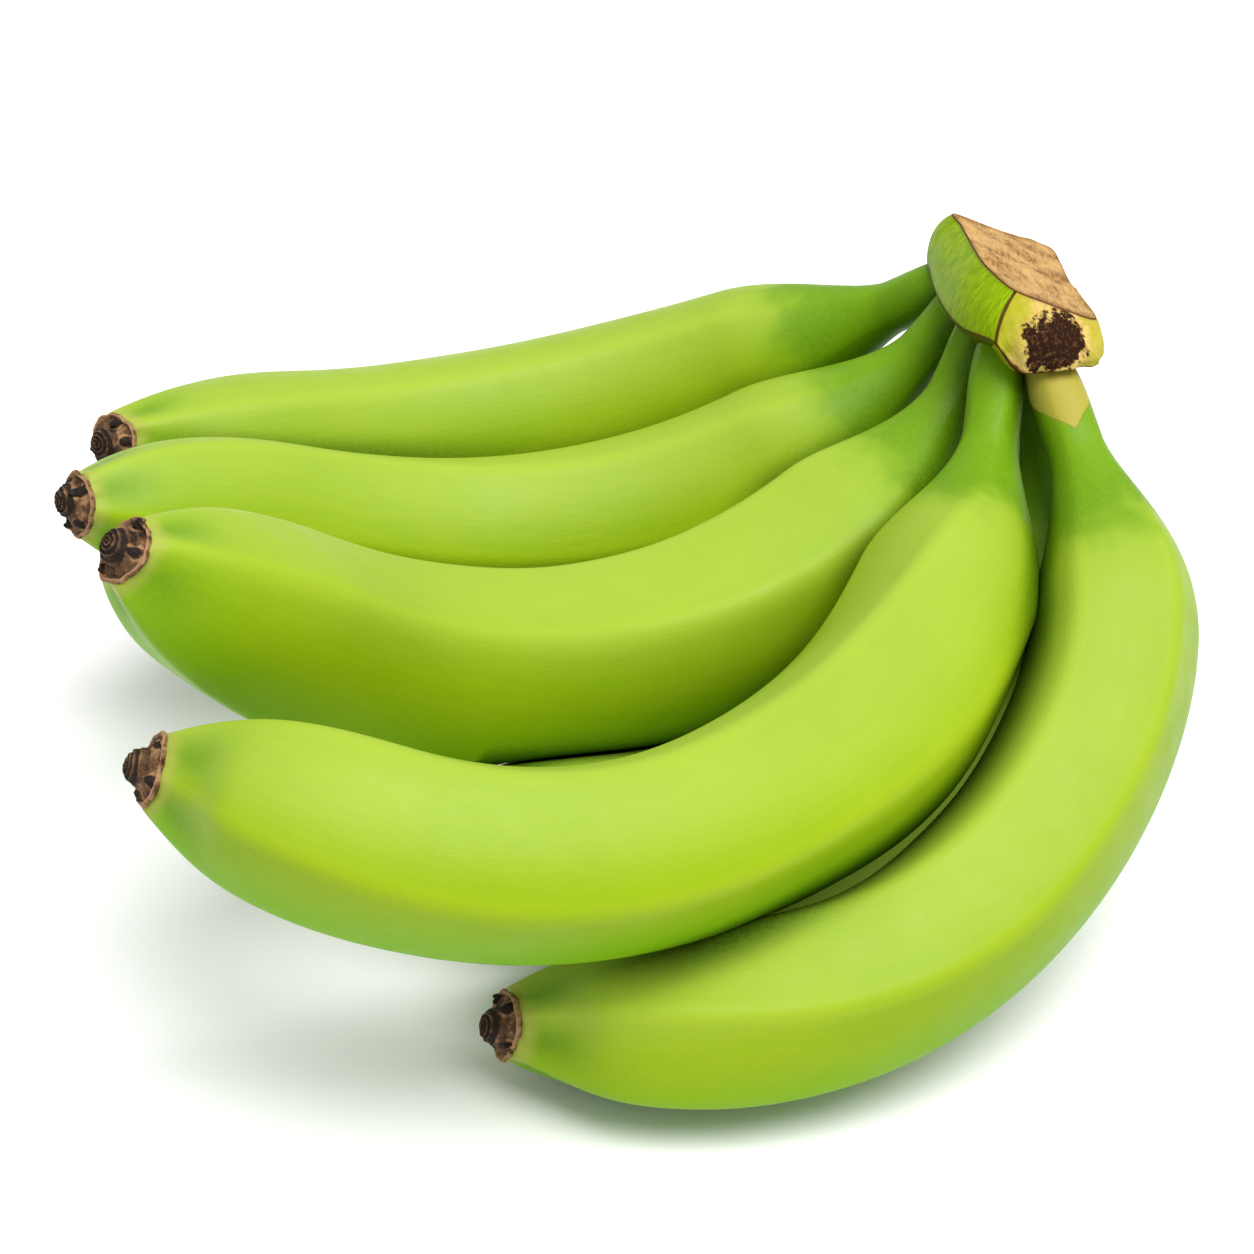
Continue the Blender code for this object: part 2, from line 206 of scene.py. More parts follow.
def heading(azimuth, elevation):
    """Unit vector from an azimuth and an elevation in degrees."""
    a = math.radians(azimuth)
    e = math.radians(elevation)
    return np.array([math.cos(e) * math.cos(a), math.cos(e) * math.sin(a), math.sin(e)])


def unit(v):
    v = np.asarray(v, float)
    return v / np.linalg.norm(v)


def unit_rows(v):
    return v / np.linalg.norm(v, axis=-1)[..., None]


def ease(x):
    """Smooth step from 0 to 1."""
    x = np.clip(x, 0.0, 1.0)
    return x * x * (3.0 - 2.0 * x)


def bump(x, width):
    """Bell curve, 1 at the middle."""
    return np.exp(-(x / width) ** 2)


def lean(points):
    """Points turned a little about X, then about Y, as the frame lies."""
    a = math.radians(LEAN[0])
    b = math.radians(LEAN[1])
    x, y, z = points[..., 0], points[..., 1], points[..., 2]
    y, z = y * math.cos(a) - z * math.sin(a), y * math.sin(a) + z * math.cos(a)
    x, z = x * math.cos(b) + z * math.sin(b), z * math.cos(b) - x * math.sin(b)
    return np.stack([x, y, z], axis=-1)


def waves(seed, rows, columns, count, long_wave, rounds):
    """Smooth random field on a tube: rows are distances in mm, columns angles."""
    rng = np.random.default_rng(seed)
    field = np.zeros((len(rows), len(columns)))
    for _ in range(count):
        length = long_wave * rng.uniform(0.6, 1.6)
        turns = rng.integers(0, rounds + 1)
        phase = rng.uniform(0.0, 2.0 * math.pi, 2)
        row = np.sin(2.0 * math.pi * rows / length + phase[0])
        field += np.outer(row, np.cos(turns * columns + phase[1]))
    return field / math.sqrt(count)


def grid_faces(rows, around):
    """Quads of a tube of rings, with a fan over each end."""
    i, j = np.meshgrid(np.arange(rows - 1), np.arange(around), indexing="ij")
    a = i * around + j
    k = (j + 1) % around
    quads = np.stack([a, a + around, i * around + around + k, i * around + k], axis=-1)
    faces = [tuple(q) for q in quads.reshape(-1, 4).tolist()]
    low = rows * around
    last = (rows - 1) * around
    for j in range(around):
        k = (j + 1) % around
        faces.append((low, j, k))
        faces.append((low + 1, last + k, last + j))
    return faces


def capped(rings):
    """Ring points, then the middle of the first and of the last ring."""
    flat = rings.reshape(-1, 3)
    return np.vstack([flat, rings[0].mean(axis=0), rings[-1].mean(axis=0)])


def capped_values(values):
    flat = values.reshape(-1)
    return np.concatenate([flat, [values[0].mean(), values[-1].mean()]])


def turned_in(rings):
    """True if the quads of these rings face into the tube."""
    middle = rings.mean(axis=1)[:, None, :]
    ahead = np.roll(middle, -1, axis=0)[:-1] - middle[:-1]
    out = (rings - middle)[:-1]
    round_it = np.roll(rings, -1, axis=1)[:-1] - rings[:-1]
    return float((np.cross(ahead, round_it) * out).sum()) < 0.0


def add_piece(name, rings, masks, material):
    """A closed mesh from rings of points in mm, with a value per vertex per mask."""
    verts = capped(rings)
    faces = grid_faces(len(rings), rings.shape[1])
    if turned_in(rings):
        faces = [tuple(reversed(face)) for face in faces]
    mesh = bpy.data.meshes.new(name)
    mesh.from_pydata([tuple(v) for v in (verts * MM).tolist()], [], faces)
    mesh.update()
    mesh.shade_smooth()
    for key, values in masks.items():
        layer = mesh.attributes.new(key, "FLOAT", "POINT")
        layer.data.foreach_set("value", capped_values(values).astype(np.float32))
    mesh.materials.append(material)
    piece = bpy.data.objects.new(name, mesh)
    bpy.context.scene.collection.objects.link(piece)
    return piece


# -------------------------------------------------------------- finger shape

def middle_line(f):
    """Distances, points, headings and side vectors along a finger's middle line."""
    u = np.linspace(0.0, 1.0, STEPS)
    start = heading(*f["start"])
    curl = heading(*f["curl"])
    curl = unit(curl - start * (curl @ start))
    side = np.cross(start, curl)
    share = 1.0 + f["neck"] * bump(u - NECK_BEND[0], NECK_BEND[1]) + f["late"] * (u - 0.5)
    share += f["end"] * bump(u - END_BEND[0], END_BEND[1])
    share = np.maximum(share, LEAST_BEND)
    total = np.concatenate([[0.0], np.cumsum((share[1:] + share[:-1]) / 2)])
    angle = math.radians(f["bend"]) * total / total[-1]
    t = np.outer(np.cos(angle), start) + np.outer(np.sin(angle), curl)
    t += np.outer(0.5 * f["sway"] * np.sin(math.pi * u), side)
    t /= np.linalg.norm(t, axis=1)[:, None]
    step = f["length"] / (STEPS - 1)
    moves = np.cumsum((t[1:] + t[:-1]) / 2 * step, axis=0)
    p = np.array(f["base"], float) + np.vstack([np.zeros(3), moves])
    side = side - t * (t @ side)[:, None]
    side /= np.linalg.norm(side, axis=1)[:, None]
    return u * f["length"], p, t, side


def stations(length):
    """Distances of the rings: close together at the neck and at the end."""
    s = [-ROOT_LENGTH]
    while s[-1] < length:
        step = min(BODY_STEP, END_STEP + STEP_GROWTH * (length - s[-1]))
        s.append(s[-1] + (NECK_STEP if s[-1] < NECK_REACH else step))
    s = np.array(s)
    return -ROOT_LENGTH + (s + ROOT_LENGTH) * (length + ROOT_LENGTH) / (s[-1] + ROOT_LENGTH)


def body_radius(s, f):
    """Mean radius of a finger at the distances s from its base."""
    swell = ease((s - PEDICEL_LENGTH) / SHOULDER_LENGTH) ** SHOULDER_POWER
    r = PEDICEL_RADIUS + (f["radius"] - PEDICEL_RADIUS) * swell
    end = np.clip((s - f["length"] + TAPER_LENGTH) / TAPER_LENGTH, 0.0, 1.0) ** TAPER_POWER
    return r * (1.0 - end) + END_RADIUS * end


def ridge_marks(ridges):
    """Angles of the ridges once round, and the same places evenly spaced."""
    marks = np.radians(np.array(list(ridges) + [ridges[0] + 360.0]))
    return marks, 2.0 * math.pi * np.arange(len(marks)) / len(ridges)


def evenly(angle, ridges):
    """Angle moved so that the finger's ridges come at even spacing."""
    marks, even = ridge_marks(ridges)
    turned = (angle - marks[0]) % (2.0 * math.pi) + marks[0]
    return np.interp(turned, marks, even)


def ridged(even, sharpness):
    """Radius factor of a softly five-sided section, corners at whole fifths."""
    total = np.zeros_like(even)
    for k in range(5):
        facet = 2.0 * math.pi * (k + 0.5) / 5
        total += np.maximum(np.cos(even - facet), 0.0) ** sharpness
    shape = total ** (-1.0 / sharpness)
    return shape / shape.mean()


def facing_up(angle, inner, side):
    """How much the skin faces up: 1 on top, 0 below."""
    rise = np.outer(inner[:, 2], np.cos(angle)) + np.outer(side[:, 2], np.sin(angle))
    return 0.5 + 0.5 * rise


def stalk_patch(key, s, angle):
    """Mask of the pale three-cornered patch on the near finger's pedicel."""
    if key != PALE_FINGER:
        return np.zeros((len(s), len(angle)))
    apart = np.abs((np.degrees(angle) - PALE_ANGLE + 180.0) % 360.0 - 180.0)
    reach = PALE_REACH * np.maximum(1.0 - apart / PALE_SPREAD, 0.0)
    return 1.0 - ease((s[:, None] - reach[None, :] + 2.0) / 3.2)


def finger(key, f):
    """Middle line and radius grid of one finger, before neighbours press it."""
    s_all, *lines = middle_line(f)
    s = stations(f["length"])
    p, t, side = [np.array([np.interp(s, s_all, line[:, k]) for k in range(3)]).T
                  for line in lines]
    p = p + t[0] * np.minimum(s, 0.0)[:, None]
    t /= np.linalg.norm(t, axis=1)[:, None]
    turn = END_TURN.get(key, 0.0) * ease(1.0 - (f["length"] - s) / END_TURN_LENGTH)
    t = unit_rows(t + turn[:, None] * np.array(FRONT))
    side = unit_rows(side - t * (t * side).sum(axis=1)[:, None])
    rng = np.random.default_rng(100 + int(key))
    twist = math.radians(f["twist"]) * (s / f["length"] - 0.5)
    late, begin, over = LATE_TWIST.get(key, (0.0, 0.0, 1.0))
    twist += math.radians(late) * ease((s - begin) / over)
    twist += math.radians(WOBBLE) * np.sin(2.0 * math.pi * s / rng.uniform(80.0, 130.0)
                                           + rng.uniform(0.0, 2.0 * math.pi))
    side = side * np.cos(twist)[:, None] - np.cross(side, t) * np.sin(twist)[:, None]
    side /= np.linalg.norm(side, axis=1)[:, None]
    inner = np.cross(side, t)
    even = 2.0 * math.pi * np.arange(AROUND) / AROUND
    angle = np.interp(even, *reversed(ridge_marks(f["ridges"])))
    near_ridge = np.cos(2.5 * even) ** 2
    from_end = f["length"] - s
    r = body_radius(s, f)
    angular = f["crisp"] * (0.35 + 0.65 * ease((s - 12.0) / 50.0))
    shape = 1.0 + angular[:, None] * (ridged(even, RIDGE_SHARPNESS) - 1.0)[None, :]
    radius = r[:, None] * shape
    # folds: the facets sink and the ridges stand out as ribs near the scar
    fold = bump(from_end - FOLD_PLACE, FOLD_WIDTH)
    hollow = (1.0 - near_ridge)[None, :] * fold[:, None]
    radius -= FOLD_DEPTH * hollow
    radius += SKIN_WAVE * waves(int(key), s, angle, 8, 50.0, 2) * ease(s / 40.0)[:, None]
    puckers = rng.uniform(0.0, 2.0 * math.pi, 3)
    pucker = np.sin(9 * angle + puckers[0]) + np.sin(14 * angle + puckers[1])
    radius += PUCKER_DEPTH * np.outer(bump(from_end, PUCKER_WIDTH), pucker)
    for full, place, half, toward in BELLIES.get(key, ()):
        radius += full * np.outer(bump(s - place, half),
                                  np.maximum(np.cos(angle - math.radians(toward)), 0.0))
    root = np.clip((ROOT_START - s) / (ROOT_LENGTH + ROOT_START), 0.0, 1.0) ** 2
    radius *= (1.0 - ROOT_TAPER * root)[:, None]
    masks = dict(
        from_neck=np.repeat(s[:, None], AROUND, axis=1),
        from_end=np.repeat(from_end[:, None], AROUND, axis=1),
        ridge=np.repeat(near_ridge[None, :], len(s), axis=0),
        # hollow: how deep the folds sink, for painted shade in them
        hollow=hollow,
        stalk=stalk_patch(key, s, angle),
        # how much the skin faces up, for the painted sheen above and the painted shade below
        upward=facing_up(angle, inner, side),
        round_x=np.repeat(np.cos(angle)[None, :], len(s), axis=0),
        round_y=np.repeat(np.sin(angle)[None, :], len(s), axis=0),
    )
    return dict(s=s, p=p, t=t, side=side, inner=inner, angle=angle, radius=radius,
                masks=masks, length=f["length"], ridges=f["ridges"], firm=f["firm"])


def spokes(g):
    """Directions from the middle line out to each grid point."""
    cos = np.cos(g["angle"])[None, :, None]
    sin = np.sin(g["angle"])[None, :, None]
    return cos * g["inner"][:, None, :] + sin * g["side"][:, None, :]


def points_of(g):
    return g["p"][:, None, :] + g["radius"][:, :, None] * spokes(g)


def radius_at(g, ring, angle):
    """Radius of a finger between its grid points, at ring numbers and angles."""
    rows = len(g["s"])
    ring = np.clip(ring, 0.0, rows - 1.001)
    i = ring.astype(int)
    fi = ring - i
    column = evenly(angle, g["ridges"]) / (2.0 * math.pi) * AROUND
    j = column.astype(int) % AROUND
    fj = column - np.floor(column)
    k = (j + 1) % AROUND
    r = g["radius"]
    low = r[i, j] * (1.0 - fj) + r[i, k] * fj
    high = r[i + 1, j] * (1.0 - fj) + r[i + 1, k] * fj
    return low * (1.0 - fi) + high * fi


FAR_AWAY = 100.0            # mm, for points beyond either end of a finger


def depth_in(points, g):
    """How deep points are in a finger, and the way out, from its middle line."""
    line = g["p"]
    far = (line ** 2).sum(axis=1)[None, :] - 2.0 * points @ line.T
    nearest = far.argmin(axis=1)
    v = points - g["p"][nearest]
    t = g["t"][nearest]
    ahead = (v * t).sum(axis=1)
    spacing = np.gradient(g["s"])[nearest]
    ring = nearest + np.clip(ahead / spacing, -1.0, 1.0)
    w = v - t * ahead[:, None]
    distance = np.linalg.norm(w, axis=1)
    angle = np.arctan2((w * g["side"][nearest]).sum(axis=1), (w * g["inner"][nearest]).sum(axis=1))
    depth = radius_at(g, ring, angle) + GAP - distance
    beyond = ((nearest == 0) & (ahead < 0)) | ((nearest == len(g["s"]) - 1) & (ahead > 0))
    depth[beyond] = -FAR_AWAY
    return depth, w / np.maximum(distance, 0.01)[:, None]


def blurred(field):
    """A little smoothing along and round a finger."""
    out = field
    for _ in range(2):
        out = (2.0 * out + np.roll(out, 1, axis=1) + np.roll(out, -1, axis=1)) / 4.0
        padded = np.vstack([out[:1], out, out[-1:]])
        out = (2.0 * out + padded[:-2] + padded[2:]) / 4.0
    return out


def press(fingers):
    """Flatten touching fingers against each other."""
    for _ in range(PRESS_ROUNDS):
        cuts = {}
        for key, g in fingers.items():
            rays = spokes(g)
            points = points_of(g)
            cut = np.zeros(g["radius"].shape)
            for other, h in fingers.items():
                if other == key:
                    continue
                reach = h["radius"].max() + 1.0
                low = h["p"].min(axis=0) - reach
                high = h["p"].max(axis=0) + reach
                near = np.all((points > low) & (points < high), axis=-1)
                depth, out = depth_in(points[near], h)
                facing = -(rays[near] * out).sum(axis=1)
                yields = PRESS_PUSH * h["firm"] / (g["firm"] + h["firm"])
                pressed = np.where((depth > 0.0) & (facing > PRESS_FACING),
                                   yields * depth / np.maximum(facing, PRESS_FACING), 0.0)
                cut[near] = np.maximum(cut[near], pressed)
            cuts[key] = cut
        for key, g in fingers.items():
            cut = np.minimum(cuts[key], PRESS_LIMIT * g["radius"])
            g["radius"] = g["radius"] - np.maximum(cut, blurred(cut))


def paint_neighbour_shade(fingers):
    """Give each finger a mask of painted shade: how close its skin faces a neighbour, 0 to 1."""
    for key, g in fingers.items():
        rays = spokes(g).reshape(-1, 3)
        points = points_of(g).reshape(-1, 3)
        shade = np.zeros(len(points))
        for other, h in fingers.items():
            if other == key:
                continue
            depth, out = depth_in(points, h)
            facing = -(rays * out).sum(axis=1)
            turned = ease((facing - SHADE_FACING) / SHADE_FACING_RANGE)
            shade = np.maximum(shade, ease(1.0 + depth / SHADE_REACH) * turned)
        g["masks"]["shade"] = shade.reshape(g["radius"].shape)


# ----------------------------------------------------------------- materials

# The Mix node's colour sockets and result, by number: its names repeat.
MIX_SHARE, MIX_A, MIX_B = 0, 6, 7
MIX_RESULT = 2


class Nodes:
    """Short ways to add shader nodes to a material."""

    def __init__(self, name):
        self.material = bpy.data.materials.new(name)
        self.material.use_nodes = True
        self.tree = self.material.node_tree
        self.shader = self.tree.nodes["Principled BSDF"]

    def link(self, output, socket):
        self.tree.links.new(output, socket)

    def give(self, socket, value):
        """Set a socket to a number or a colour, or link it to an output."""
        if isinstance(value, bpy.types.NodeSocket):
            self.link(value, socket)
        elif isinstance(value, tuple) and len(value) == 3 and len(socket.default_value) == 4:
            socket.default_value = (*value, 1.0)
        else:
            socket.default_value = value

    def attribute(self, name):
        node = self.tree.nodes.new("ShaderNodeAttribute")
        node.attribute_name = name
        return node.outputs["Fac"]

    def place(self):
        return self.tree.nodes.new("ShaderNodeTexCoord").outputs["Object"]

    def stretched(self, vector, scale, turn=(0.0, 0.0, 0.0)):
        node = self.tree.nodes.new("ShaderNodeMapping")
        node.inputs["Scale"].default_value = scale
        node.inputs["Rotation"].default_value = turn
        self.link(vector, node.inputs["Vector"])
        return node.outputs["Vector"]

    def noise(self, vector, scale, detail=2.0, roughness=0.5, distortion=0.0):
        node = self.tree.nodes.new("ShaderNodeTexNoise")
        self.link(vector, node.inputs["Vector"])
        node.inputs["Scale"].default_value = scale
        node.inputs["Detail"].default_value = detail
        node.inputs["Roughness"].default_value = roughness
        node.inputs["Distortion"].default_value = distortion
        return node.outputs["Fac"]

    def math(self, kind, a, b=0.0, c=0.0):
        node = self.tree.nodes.new("ShaderNodeMath")
        node.operation = kind
        for socket, value in zip(node.inputs, (a, b, c)):
            self.give(socket, value)
        return node.outputs[0]

    def spread(self, value, low, high, to_low=0.0, to_high=1.0):
        """Value from low..high to to_low..to_high, smoothly and clamped."""
        node = self.tree.nodes.new("ShaderNodeMapRange")
        node.interpolation_type = "SMOOTHSTEP"
        self.give(node.inputs["Value"], value)
        node.inputs["From Min"].default_value = low
        node.inputs["From Max"].default_value = high
        node.inputs["To Min"].default_value = to_low
        node.inputs["To Max"].default_value = to_high
        return node.outputs["Result"]

    def mix(self, share, a, b, kind="MIX"):
        node = self.tree.nodes.new("ShaderNodeMix")
        node.data_type = "RGBA"
        node.blend_type = kind
        self.give(node.inputs[MIX_SHARE], share)
        self.give(node.inputs[MIX_A], a)
        self.give(node.inputs[MIX_B], b)
        return node.outputs[MIX_RESULT]

    def swing(self, value, amount, middle=0.0):
        """A noise value as a swing of the given amount round a middle."""
        centred = self.math("SUBTRACT", value, 0.5)
        return self.math("MULTIPLY_ADD", centred, amount, middle)

    def bumps(self, height, distance, strength, under=None):
        node = self.tree.nodes.new("ShaderNodeBump")
        node.inputs["Strength"].default_value = strength
        node.inputs["Distance"].default_value = distance
        self.link(height, node.inputs["Height"])
        if under is not None:
            self.link(under, node.inputs["Normal"])
        return node.outputs["Normal"]


BODY_GREEN = (0.195, 0.325, 0.001)
FRESH_GREEN = (0.228, 0.350, 0.002)
RIDGE_GREEN = (0.285, 0.395, 0.010)
DEEP_GREEN = (0.108, 0.252, 0.001)     # at the neck
# painted shade in the folds by the scar and in the crease at the shoulder
PAINTED_CREASE_SHADE = (0.075, 0.205, 0.001)
PAINTED_TOP_SHEEN = (0.325, 0.435, 0.070)    # painted sheen where the skin faces up, towards the light
PAINTED_UNDER_SHADE = (0.140, 0.350, 0.0005)     # painted shade where it faces down, a deeper green
PAINTED_NEIGHBOUR_SHADE = (0.020, 0.070, 0.0005)   # painted shade between neighbours
PALE_GREEN = (0.310, 0.340, 0.055)     # round the flower scar
STALK_YELLOW = (0.340, 0.300, 0.040)   # the pale patch on one pedicel
STALK_BROWN = (0.200, 0.120, 0.020)


def skin_material(name, tint):
    """Green skin, with a painted sheen above, and paler round the scar.

    It is deeper green at the neck, and painted shade makes it a deeper green in
    the folds, at the shoulder, below and between neighbours. The mesh carries all
    of these as masks, beside the pedicel's pale patch.
    """
    n = Nodes(name)
    place = n.place()
    clouds = n.noise(place, 28.0, 3.0)
    patches = n.noise(place, 75.0, 2.0)
    grain = n.noise(place, 1300.0, 2.0, 0.6)
    from_neck = n.attribute("from_neck")
    from_end = n.attribute("from_end")
    # streaks along the finger: 1 unit is the body's radius across, 143 mm along
    lie = n.tree.nodes.new("ShaderNodeCombineXYZ")
    n.link(n.attribute("round_x"), lie.inputs[0])
    n.link(n.attribute("round_y"), lie.inputs[1])
    n.link(n.math("MULTIPLY", from_neck, 0.007), lie.inputs[2])
    streaks = n.noise(lie.outputs[0], 9.0, 4.0, 0.6)
    threads = n.noise(lie.outputs[0], 34.0, 2.0, 0.5)
    colour = n.mix(n.spread(clouds, 0.35, 0.65), BODY_GREEN, FRESH_GREEN)
    ridge = n.spread(n.attribute("ridge"), 0.80, 1.0, 0.0, 0.35)
    colour = n.mix(ridge, colour, RIDGE_GREEN)
    colour = n.mix(n.spread(streaks, 0.35, 0.65, 0.0, 0.16), colour, RIDGE_GREEN)
    upward = n.attribute("upward")
    # painted sheen: paler skin where it faces up
    colour = n.mix(n.spread(upward, 0.55, 0.98, 0.0, 0.42), colour, PAINTED_TOP_SHEEN)
    # painted shade: a deeper green where the skin faces down
    colour = n.mix(n.spread(upward, 0.10, 0.52, 0.85, 0.0), colour, PAINTED_UNDER_SHADE)
    wander = n.swing(patches, 30.0, from_neck)
    colour = n.mix(n.spread(wander, 18.0, 46.0, 0.90, 0.0), colour, DEEP_GREEN)
    # painted shade in the crease at the shoulder
    away = n.math("ABSOLUTE", n.math("SUBTRACT", wander, 27.0))
    colour = n.mix(n.spread(away, 1.0, 11.0, 0.50, 0.0), colour, PAINTED_CREASE_SHADE)
    # painted shade in the hollows of the folds by the scar
    colour = n.mix(n.math("MULTIPLY", n.attribute("hollow"), 0.65), colour, PAINTED_CREASE_SHADE)
    # painted shade where the skin faces a close neighbour
    colour = n.mix(n.math("MULTIPLY", n.attribute("shade"), 0.9), colour, PAINTED_NEIGHBOUR_SHADE)
    pale = n.swing(patches, 3.0, from_end)
    colour = n.mix(n.spread(pale, 0.4, 3.5, 0.85, 0.0), colour, PALE_GREEN)
    colour = n.mix(n.spread(grain, 0.35, 0.65, 0.0, 0.12), colour, RIDGE_GREEN)
    patch = n.swing(n.noise(place, 420.0, 3.0), 0.5, n.attribute("stalk"))
    colour = n.mix(n.spread(patch, 0.30, 0.55), colour, STALK_YELLOW)
    scuff = n.math("ABSOLUTE", n.math("SUBTRACT", patch, 0.36))
    colour = n.mix(n.spread(scuff, 0.02, 0.10, 0.55, 0.0), colour, STALK_BROWN)
    colour = n.mix(1.0, colour, tint, "MULTIPLY")
    n.link(colour, n.shader.inputs["Base Color"])
    rough = n.spread(n.noise(place, 160.0, 2.0), 0.3, 0.7, 0.40, 0.50)
    n.link(rough, n.shader.inputs["Roughness"])
    n.shader.inputs["Specular IOR Level"].default_value = 0.13
    fine = n.bumps(grain, 0.00004, 0.5)
    thread = n.bumps(threads, 0.00008, 0.5, fine)
    soft = n.bumps(n.noise(place, 260.0, 2.0), 0.00010, 0.35, thread)
    n.link(soft, n.shader.inputs["Normal"])
    return n.material


TAN = (0.30, 0.165, 0.075)
WOOD_BROWN = (0.085, 0.042, 0.018)
CHAR = (0.013, 0.007, 0.004)


def dried_material(name):
    """Dried flower end: tan rim, brown slope and a dark ringed knob."""
    n = Nodes(name)
    place = n.place()
    dark = n.attribute("dark")
    streaks = n.noise(place, 900.0, 4.0, 0.65, 0.6)
    blotch = n.noise(place, 350.0, 3.0, 0.6)
    shade = n.swing(blotch, 1.3, n.swing(streaks, 0.9, dark))
    colour = n.mix(n.spread(shade, 0.05, 0.45), TAN, WOOD_BROWN)
    colour = n.mix(n.spread(shade, 0.40, 0.80), colour, CHAR)
    n.link(colour, n.shader.inputs["Base Color"])
    n.link(n.spread(blotch, 0.3, 0.7, 0.60, 0.85), n.shader.inputs["Roughness"])
    n.shader.inputs["Specular IOR Level"].default_value = 0.18
    n.link(n.bumps(streaks, 0.0003, 0.8), n.shader.inputs["Normal"])
    return n.material


CUT_TAN = (0.43, 0.25, 0.090)
CUT_LIGHT = (0.56, 0.37, 0.15)
CUT_DARK = (0.16, 0.075, 0.026)
SCAR_LIME = (0.330, 0.330, 0.012)
SCAR_TAN = (0.460, 0.300, 0.065)
SCAR_PALE = (0.600, 0.440, 0.150)
SHEATH_GREEN = (0.150, 0.260, 0.001)
SHEATH_LIGHT = (0.250, 0.370, 0.004)
SHEATH_OLIVE = (0.070, 0.075, 0.006)
EDGE_BROWN = (0.075, 0.020, 0.011)
PATCH_BROWN = (0.022, 0.009, 0.005)
PATCH_LIGHT = (0.110, 0.050, 0.018)


def crown_material(name):
    """Crown: green sheath, corky cut face, and an old scar with a dark patch.

    The mesh carries two numbers: how far round it is, in corners, and how far
    down: below 0 on the cut face, 0 to 1 on the sides, above 1 underneath.
    """
    n = Nodes(name)
    place = n.place()
    round_ = n.attribute("round")
    down = n.attribute("down")
    cloud = n.noise(place, 130.0, 3.0)
    ragged = n.noise(place, 330.0, 5.0, 0.65)
    fibre_place = n.stretched(place, (1.0, 0.26, 1.0), (0.0, 0.0, 0.25))
    fibre = n.noise(fibre_place, 800.0, 4.0, 0.65, 0.9)
    fine = n.noise(place, 1500.0, 3.0, 0.6)
    around = n.tree.nodes.new("ShaderNodeCombineXYZ")
    n.link(n.math("MULTIPLY", round_, 3.0), around.inputs[0])
    n.link(down, around.inputs[1])
    lines = n.noise(around.outputs[0], 4.0, 4.0, 0.6)
    # green sheath with streaks, olive at the cut edge and underneath
    green = n.mix(n.spread(lines, 0.35, 0.65), SHEATH_GREEN, SHEATH_LIGHT)
    green = n.mix(n.spread(down, 0.0, 0.10, 0.35, 0.0), green, SHEATH_OLIVE)
    green = n.mix(n.spread(down, 1.0, 1.15, 0.0, 0.85), green, SHEATH_OLIVE)
    # the near end, corners 4.8 to 8: fibrous tan, lime towards its two sides
    wander = n.swing(ragged, 0.9, round_)
    scar = n.mix(n.spread(fibre, 0.3, 0.7), SCAR_TAN, SCAR_PALE)
    scar = n.mix(n.spread(fine, 0.58, 0.75, 0.0, 0.5), scar, CUT_DARK)
    scar = n.mix(n.spread(wander, 7.10, 7.75, 0.0, 0.9), scar, SCAR_LIME)
    scar = n.mix(n.spread(wander, 5.6, 5.9, 0.65, 0.0), scar, SCAR_LIME)
    # the dark patch, with a ragged edge
    across = n.math("DIVIDE", n.math("SUBTRACT", round_, 6.55), 0.80)
    below = n.math("DIVIDE", n.math("SUBTRACT", down, 0.50), 0.46)
    away = n.math("POWER", n.math("ADD", n.math("MULTIPLY", across, across),
                                  n.math("MULTIPLY", below, below)), 0.5)
    away = n.swing(ragged, 1.9, away)
    patch = n.mix(n.spread(fine, 0.50, 0.72), PATCH_BROWN, PATCH_LIGHT)
    scar = n.mix(n.spread(away, 0.90, 1.05, 1.0, 0.0), scar, patch)
    rim = n.swing(ragged, 0.25, down)
    scar = n.mix(n.spread(rim, 0.93, 1.0, 0.0, 0.85), scar, EDGE_BROWN)
    scar = n.mix(n.spread(down, 1.06, 1.18), scar, SCAR_LIME)
    is_end = n.math("MULTIPLY", n.spread(round_, 4.8, 4.9), n.spread(round_, 7.96, 8.0, 1.0, 0.0))
    colour = n.mix(is_end, green, scar)
    # thin brown lines at the seam, along the rim and round the cut face
    seam = n.spread(n.math("ABSOLUTE", n.math("SUBTRACT", round_, 8.0)), 0.03, 0.07, 1.0, 0.0)
    seam = n.math("MULTIPLY", seam, n.spread(down, 1.0, 1.1, 1.0, 0.0))
    seam = n.math("MULTIPLY", seam, n.spread(down, -0.5, -0.3, 0.0, 1.0))
    edge = n.spread(n.math("ABSOLUTE", n.math("SUBTRACT", down, 1.0)), 0.015, 0.045, 1.0, 0.0)
    top = n.spread(n.math("ABSOLUTE", n.math("ADD", down, 0.25)), 0.18, 0.32, 1.0, 0.0)
    line = n.math("MAXIMUM", n.math("MAXIMUM", seam, edge), top)
    # the cut face
    cork = n.mix(n.spread(fibre, 0.34, 0.66), CUT_DARK, CUT_TAN)
    cork = n.mix(n.spread(cloud, 0.35, 0.65, 0.0, 0.55), cork, CUT_LIGHT)
    cork = n.mix(n.spread(fine, 0.60, 0.72, 0.0, 0.55), cork, CUT_DARK)
    cork = n.mix(n.spread(down, -1.10, -1.01, 0.0, 0.45), cork, CUT_DARK)
    colour = n.mix(n.spread(down, -0.50, -0.35, 1.0, 0.0), colour, cork)
    colour = n.mix(n.math("MULTIPLY", line, 0.9), colour, EDGE_BROWN)
    n.link(colour, n.shader.inputs["Base Color"])
    dry = n.math("MAXIMUM", is_end, n.spread(down, -0.5, -0.3, 1.0, 0.0))
    n.link(n.spread(dry, 0.0, 1.0, 0.42, 0.85), n.shader.inputs["Roughness"])
    n.shader.inputs["Specular IOR Level"].default_value = 0.04
    depth = n.math("MULTIPLY", fibre, n.math("MULTIPLY_ADD", dry, 0.9, 0.1))
    n.link(n.bumps(depth, 0.0004, 0.7), n.shader.inputs["Normal"])
    return n.material


